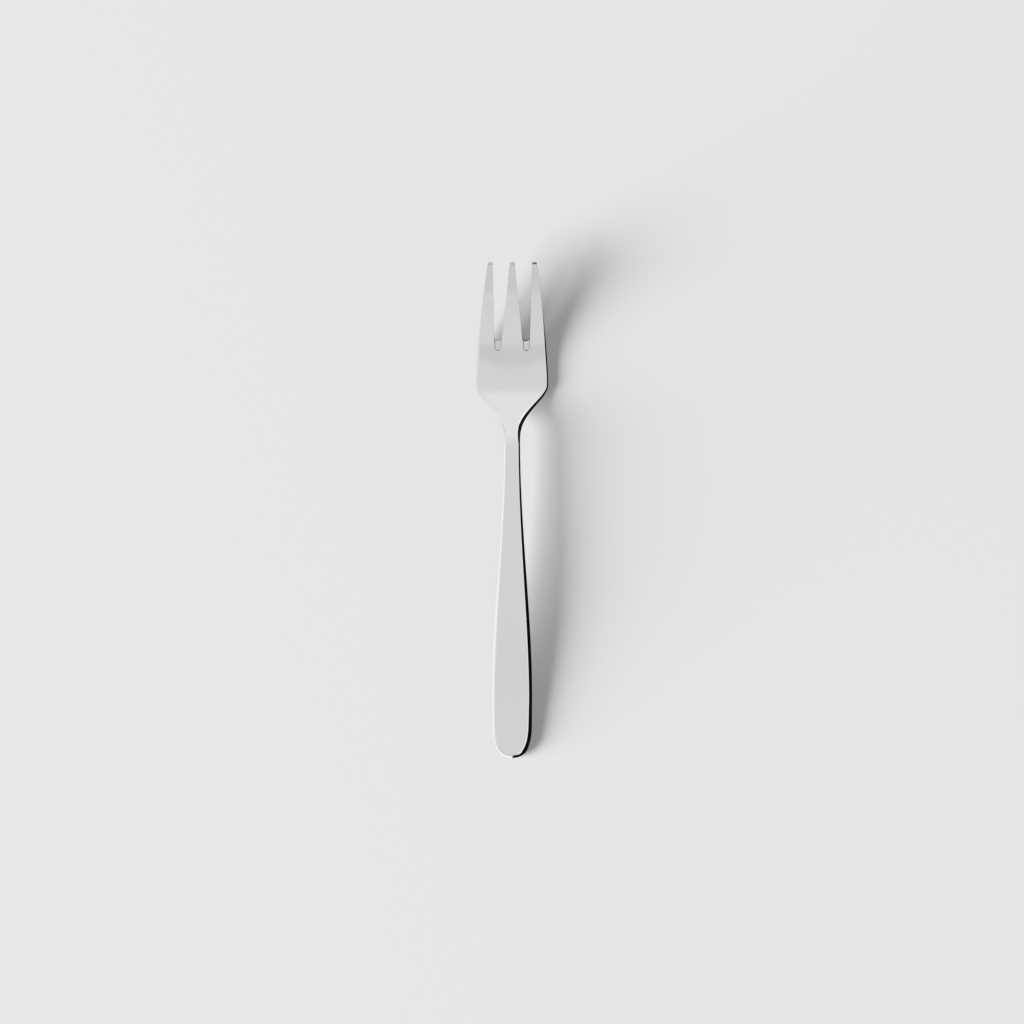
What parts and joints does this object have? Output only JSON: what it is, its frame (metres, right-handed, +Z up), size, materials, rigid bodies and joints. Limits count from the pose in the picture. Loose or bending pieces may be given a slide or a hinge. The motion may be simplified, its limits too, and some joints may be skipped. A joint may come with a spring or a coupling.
{
  "type": "pastry fork",
  "caption": "Slim polished steel pastry fork with a rounded tapering handle, a narrow arched neck, a flat shallow head and long tapering tines that curve up.",
  "frame": {"origin": "on the table, under the middle of the fork's length and width, as it lies on its back", "axes": "+Y along the fork from the handle to the tines, +X to the right seen from above with the tines away, +Z up from the table"},
  "size_m": [0.021, 0.145, 0.016],
  "materials": {
    "polished_steel": "fine mirror polish"
  },
  "bodies": {
    "root": {"handle": "polished_steel", "neck": "polished_steel", "head": "polished_steel", "tine_left": "polished_steel", "tine_middle": "polished_steel", "tine_right": "polished_steel"}
  },
  "joints": []
}
